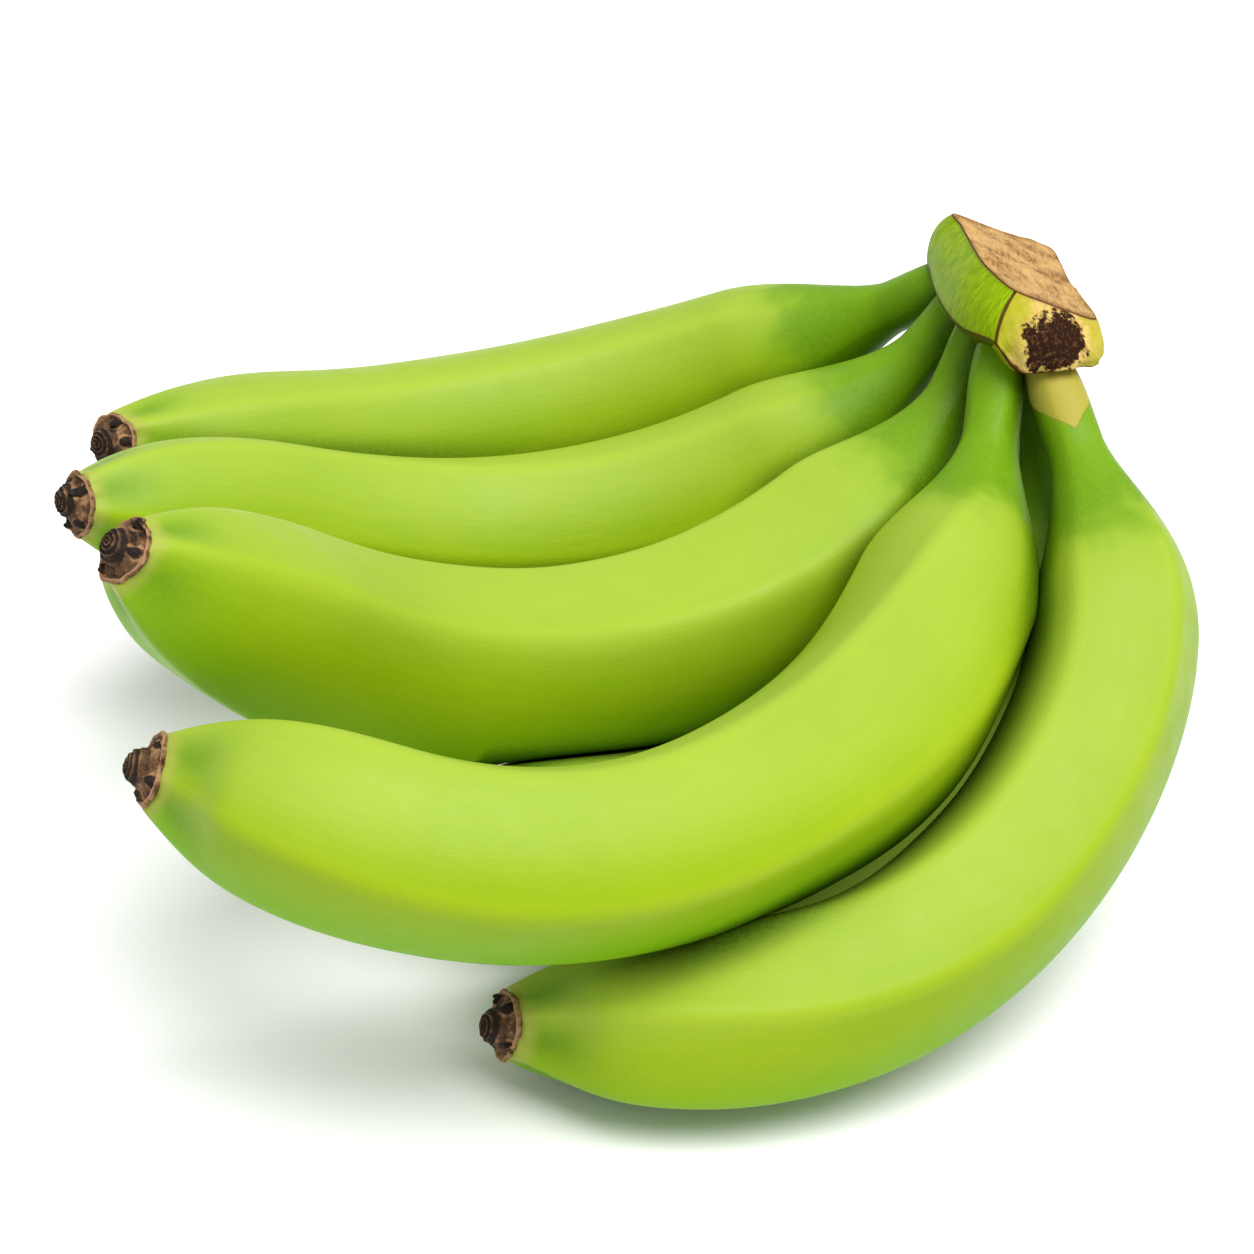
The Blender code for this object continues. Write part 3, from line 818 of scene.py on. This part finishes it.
def floor_material():
    n = Nodes("white_table")
    speck = n.noise(n.place(), 40.0, 2.0)
    n.link(n.mix(n.spread(speck, 0.3, 0.7), (0.84, 0.84, 0.84), (0.85, 0.85, 0.85)),
           n.shader.inputs["Base Color"])
    n.shader.inputs["Roughness"].default_value = 0.9
    n.shader.inputs["Specular IOR Level"].default_value = 0.0
    return n.material


# --------------------------------------------------------- dried flower ends

DISC_AROUND = 120
DISC_RINGS = 46
DISC_RADIUS = 6.35
SLOPE_FOOT = 0.5            # height of the disc at its rim
SLOPE_RISE = 1.8            # and how much higher it is in the middle
KNOB_RADIUS = 3.5
KNOB_HEIGHT = 2.4
KNOB_FOOT = 3.0             # radius where the knob begins to blend with the disc
TERRACE_WIDTH = 0.85        # of the knob's rings
TERRACE_HEIGHT = 0.26
SIDE_KNOBS = 4
WRINKLES = 14               # waves that roughen the surface
WRINKLE_HEIGHT = 0.22
EDGE_WAVES = ((2, 0.06), (3, 0.045), (7, 0.025), (13, 0.015))  # count round, share
# The rings under the disc's rim: how far back and how far in.
DISC_UNDER = ((0.25, -0.10), (0.5, -0.12), (0.8, 0.1), (1.0, 1.2), (1.0, 3.0))


def flower_end(key, g):
    """Dried flower remains: a wavy disc, a ringed knob and small side knobs."""
    rng = np.random.default_rng(40 + int(key))
    tip = g["p"][-1]
    axis = g["t"][-1]
    side = g["side"][-1]
    across = np.cross(axis, side)
    angle = 2.0 * math.pi * np.arange(DISC_AROUND) / DISC_AROUND
    phase = rng.uniform(0.0, 2.0 * math.pi, 4)
    edge = DISC_RADIUS * sum((size * np.sin(count * angle + start)
                              for (count, size), start in zip(EDGE_WAVES, phase)), 1.0)
    rho = np.outer(np.linspace(0.0, 1.0, DISC_RINGS) ** 0.8, edge)
    x = rho * np.cos(angle)[None, :]
    y = rho * np.sin(angle)[None, :]
    shift = rng.uniform(-0.7, 0.7, 2)
    knob = np.hypot(x - shift[0], y - shift[1])
    part = rho / edge[None, :]
    slope = SLOPE_FOOT + SLOPE_RISE * (1.0 - ease((part - 0.35) / 0.55))
    lip = 0.35 * bump(part - 0.95, 0.045) - 0.25 * bump(part - 0.84, 0.06)
    twist = np.arctan2(y - shift[1], x - shift[0]) / (2.0 * math.pi)
    turns = (knob - 0.25 * np.sin(4 * math.pi * twist + phase[0])) / TERRACE_WIDTH
    terrace = TERRACE_HEIGHT * np.cos(2.0 * math.pi * turns)
    dome = KNOB_HEIGHT * np.sqrt(np.clip(1.0 - (knob / KNOB_RADIUS) ** 2, 0.0, 1.0))
    inside = 1.0 - ease((knob - KNOB_FOOT) / 0.9)
    height = slope + lip + dome + terrace * inside
    dark = 0.42 + 0.42 * inside - 0.55 * bump(part - 0.95, 0.05)
    dark += 0.42 * inside * np.cos(2.0 * math.pi * turns + math.pi)
    starts = rng.uniform(0.0, 2.0 * math.pi)
    for k in range(SIDE_KNOBS):
        a = starts + k * 1.6 + rng.uniform(-0.4, 0.4)
        d = rng.uniform(4.3, 5.2)
        size = rng.uniform(0.75, 1.15)
        away = np.hypot(x - d * math.cos(a), y - d * math.sin(a))
        height += 1.3 * size * np.sqrt(np.clip(1.0 - (away / size) ** 2, 0.0, 1.0))
        dark += 0.6 * (1.0 - ease((away - 0.8 * size) / (0.4 * size)))
        dark -= 0.25 * bump(away - 1.35 * size, 0.25)
    rough = np.zeros_like(height)
    for _ in range(WRINKLES):
        wave = rng.uniform(2.0, 7.0, 2) * rng.choice([-1.0, 1.0], 2)
        rough += np.sin(wave[0] * x + wave[1] * y + rng.uniform(0.0, 6.0)) / WRINKLES
    height += WRINKLE_HEIGHT * rough * ease(part * 3.0)
    spots = tip + (x[..., None] * across + y[..., None] * side) + height[..., None] * axis
    rim = spots[-1]
    out = unit_rows(rim - tip - axis * ((rim - tip) @ axis)[:, None])
    below = [rim - axis * back - out * draw for back, draw in DISC_UNDER]
    rings = np.concatenate([spots[1:], np.array(below)])
    under = np.full((len(below), DISC_AROUND), 0.25)
    masks = dict(dark=np.concatenate([dark[1:], under]))
    return rings, masks


# --------------------------------------------------------------------- crown

CROWN_FINER = 5             # doublings of the outline's corners
CUT_RINGS = 50
SIDE_RINGS = 44
SEAM_CORNER = 8.0           # where the green sheath meets the near end
CORK_PIT = (18.0, -7.5, 1.1)  # along, across and radius of a pit in the cut face
PIT_DEPTH = 1.1
# The rings round the cut edge: share of the outline, drop and value of "down".
CUT_EDGE = ((0.995, -0.10, -0.6), (1.002, 0.02, -0.3), (1.006, 0.28, 0.0))
# The rings below the rim, in the same way, then those of the shallow underside:
# share of the outline and height.
BELOW_RIM = ((0.98, 0.3, 1.04), (0.94, 0.45, 1.2), (0.90, 0.6, 2.0), (0.84, 1.1, 2.0),
             (0.74, 1.9, 2.0))
UNDERSIDE = ((0.60, -7.8), (0.42, -9.0), (0.22, -9.6), (0.03, -9.8))


def crown_points(local):
    """Points given along, across and up the crown, in the fingers' coordinates."""
    up = unit(CROWN_AXIS)
    along = np.array([0.0, 1.0, 0.0])
    along = unit(along - up * (along @ up))
    across = np.cross(along, up)
    return (np.array(CROWN_MIDDLE) + local[..., :1] * along + local[..., 1:2] * across
            + local[..., 2:] * up)


def doubled(points):
    """Closed outline with a point added between neighbours by the four-point rule."""
    before = np.roll(points, 1, axis=0)
    after = np.roll(points, -1, axis=0)
    later = np.roll(points, -2, axis=0)
    out = np.empty((2 * len(points), points.shape[1]))
    out[0::2] = points
    out[1::2] = (9.0 * (points + after) - before - later) / 16.0
    return out


def smooth_outline(points):
    for _ in range(CROWN_FINER):
        points = doubled(points)
    return points


def crown_corners():
    """Corner points along, across and up, at the cut face, the waist and the rim."""
    cut = np.array([corner[0] for corner in CROWN_OUTLINE], float)
    waist = np.array([corner[1] for corner in CROWN_OUTLINE], float)
    rim = np.array([corner[2] for corner in CROWN_OUTLINE], float)
    cut = np.column_stack([cut, np.full(len(cut), CROWN_TOP)])
    waist_height = CROWN_TOP + (rim[:, 2] - CROWN_TOP) * WAIST_SHARE
    return cut, np.column_stack([waist, waist_height]), rim


def crown():
    """The crown: rings from the cut face's middle, over the edge, to the underside."""
    cut, waist, rim = [smooth_outline(points) for points in crown_corners()]
    count = len(cut)
    turn = len(CROWN_OUTLINE) * np.arange(count) / count  # in corners
    middle = cut[:, :2].mean(axis=0)
    rings = []
    downs = []
    near_end = ease((turn - 4.7) / 0.2) * (1.0 - ease((turn - 7.95) / 0.1))
    seam = bump(turn - SEAM_CORNER, 0.045)

    def ring(outline, height, down):
        rings.append(np.column_stack([outline, np.full(count, height)]))
        downs.append(np.full(count, down))

    for share in np.linspace(0.03, 0.985, CUT_RINGS):
        outline = middle + (cut[:, :2] - middle) * share
        height = (CROWN_TOP + 0.22 * np.sin(0.35 * outline[:, 0] + 1.0)
                  + 0.18 * np.sin(0.55 * outline[:, 1] + 0.3 * outline[:, 0])
                  + 0.10 * np.sin(1.7 * outline[:, 0] - 0.9 * outline[:, 1]))
        from_pit = np.hypot(outline[:, 0] - CORK_PIT[0], outline[:, 1] - CORK_PIT[1])
        ring(outline, height - PIT_DEPTH * bump(from_pit, CORK_PIT[2]), share - 2.0)
    for share, drop, down in CUT_EDGE:
        ring(middle + (cut[:, :2] - middle) * share, CROWN_TOP - drop, down)
    w = WAIST_SHARE
    for v in np.linspace(0.03, 1.0, SIDE_RINGS):
        # a smooth curve through the cut edge, the waist and the rim
        points = ((v - w) * (v - 1.0) / w * cut + v * (v - 1.0) / (w * (w - 1.0)) * waist
                  + v * (v - w) / (1.0 - w) * rim)
        out = unit_rows(points[:, :2] - points[:, :2].mean(axis=0))
        # the seam's groove, and the near end's fibres, lobes, hollow and lip
        rough = np.sin(11.0 * turn + 3.0 * v) * np.sin(17.0 * v + 5.0 * turn)
        lobes = np.sin(7.3 * turn + 1.0) + 0.6 * np.sin(13.1 * turn)
        draw = 0.45 * seam + near_end * (0.12 * rough - 0.30 * lobes * ease((v - 0.6) / 0.4))
        hollow = 1.0 - ease((np.hypot((turn - 6.6) / 0.85, (v - 0.46) / 0.40) - 0.6) / 0.5)
        draw = draw + 0.7 * hollow * near_end - 0.35 * near_end * bump(v - 0.97, 0.05)
        ring(points[:, :2] - out * draw[:, None], points[:, 2], v)
    centre = rim[:, :2].mean(axis=0)
    for share, drop, down in BELOW_RIM:
        ring(centre + (rim[:, :2] - centre) * share, rim[:, 2] - drop, down)
    for share, height in UNDERSIDE:
        ring(centre + (rim[:, :2] - centre) * share, height, 2.0)
    rounds = np.repeat(turn[None, :], len(rings), axis=0)
    return crown_points(np.array(rings)), dict(round=rounds, down=np.array(downs))


# --------------------------------------------------------------------- scene

def frame_shift():
    """The frame's origin in the fingers' coordinates, from the crown's box."""
    cut, waist, rim = crown_corners()
    base = np.column_stack([rim[:, :2] * CAD_BASE_SHARE, np.full(len(rim), CAD_BASE)])
    edge = cut - np.array([0.0, 0.0, CAD_BEVEL])
    top = cut * np.array([CAD_TOP_SHARE, CAD_TOP_SHARE, 1.0])
    local = np.vstack([doubled(level) for level in (top, edge, waist, rim, base)])
    points = lean(crown_points(local))
    low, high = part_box("crown")
    mine = (points.min(axis=0) + points.max(axis=0)) / 2
    return mine - (np.array(low) + np.array(high)) / 2 / MM


def set_camera(shift):
    """The photo's view, from the front and above."""
    e = math.radians(VIEW_DOWN)
    right = np.array([1.0, 0.0, 0.0])
    up = np.array([0.0, math.sin(e), math.cos(e)])
    back = np.array([0.0, -math.cos(e), math.sin(e)])
    place = lean(np.array(VIEW_TARGET) + VIEW_DISTANCE * back) - shift
    data = bpy.data.cameras.new("camera")
    data.sensor_fit = "HORIZONTAL"
    data.sensor_width = SENSOR_WIDTH
    data.lens = LENS
    data.clip_start = CLIP_START
    data.clip_end = CLIP_END
    camera = bpy.data.objects.new("camera", data)
    bpy.context.scene.collection.objects.link(camera)
    axes = np.column_stack([lean(right), lean(up), lean(back)])
    matrix = np.eye(4)
    matrix[:3, :3] = axes
    matrix[:3, 3] = place * MM
    camera.matrix_world = Matrix(matrix.tolist())
    bpy.context.scene.camera = camera


def set_lights():
    """A room that is brightest overhead, and one wide lamp above.

    The lamp is a little to the right and to the front.
    """
    world = bpy.data.worlds.new("studio")
    world.use_nodes = True
    tree = world.node_tree
    background = tree.nodes["Background"]
    background.inputs["Color"].default_value = (1.0, 1.0, 1.0, 1.0)
    direction = tree.nodes.new("ShaderNodeTexCoord").outputs["Generated"]
    split = tree.nodes.new("ShaderNodeSeparateXYZ")
    tree.links.new(direction, split.inputs[0])
    rise = tree.nodes.new("ShaderNodeMapRange")
    tree.links.new(split.outputs["Z"], rise.inputs["Value"])
    rise.inputs["From Min"].default_value = 0.0
    rise.inputs["From Max"].default_value = 1.0
    rise.inputs["To Min"].default_value = ROOM_LOW
    rise.inputs["To Max"].default_value = ROOM_HIGH
    tree.links.new(rise.outputs["Result"], background.inputs["Strength"])
    bpy.context.scene.world = world
    sun = bpy.data.lights.new("overhead", "SUN")
    sun.energy = LAMP_STRENGTH
    sun.angle = math.radians(LAMP_WIDTH)
    lamp = bpy.data.objects.new("overhead", sun)
    lamp.rotation_euler = [math.radians(turn) for turn in LAMP_TURN]
    bpy.context.scene.collection.objects.link(lamp)


def add_floor():
    """A white table top, so wide that its edge is never seen."""
    mesh = bpy.data.meshes.new("table_top")
    half = 40.0  # m
    mesh.from_pydata([(-half, -half, 0), (half, -half, 0), (half, half, 0), (-half, half, 0)],
                     [], [(0, 1, 2, 3)])
    mesh.materials.append(floor_material())
    floor = bpy.data.objects.new("table_top", mesh)
    bpy.context.scene.collection.objects.link(floor)


def finish_piece(piece, node):
    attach(piece, "root")
    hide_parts(node)


# A colour that multiplies each finger's skin.
TINTS = {
    "1": (0.98, 0.985, 1.0), "2": (1.0, 1.0, 1.0), "3": (1.0, 1.0, 1.0), "4": (1.0, 1.0, 1.0),
    "5": (1.0, 0.99, 1.0), "6": (0.98, 0.98, 1.0), "7": (0.98, 0.98, 1.0), "8": (0.98, 0.98, 1.0),
}


def main():
    bpy.context.scene.view_settings.view_transform = "Standard"
    grids = {key: finger(key, f) for key, f in FINGERS.items()}
    shift = frame_shift()
    press(grids)
    paint_neighbour_shade(grids)
    dried = dried_material("dried_flower")
    for key, g in grids.items():
        skin = skin_material("skin_" + key, TINTS[key])
        rings = lean(points_of(g)) - shift
        piece = add_piece("finger_" + key, rings, g["masks"], skin)
        finish_piece(piece, "banana_" + key)
        rings, masks = flower_end(key, g)
        end = add_piece("flower_end_" + key, lean(rings) - shift, masks, dried)
        finish_piece(end, "blossom_end_" + key)
    rings, masks = crown()
    piece = add_piece("crown_piece", lean(rings) - shift, masks, crown_material("crown_cork"))
    finish_piece(piece, "crown")
    add_floor()
    set_lights()
    set_camera(shift)


main()
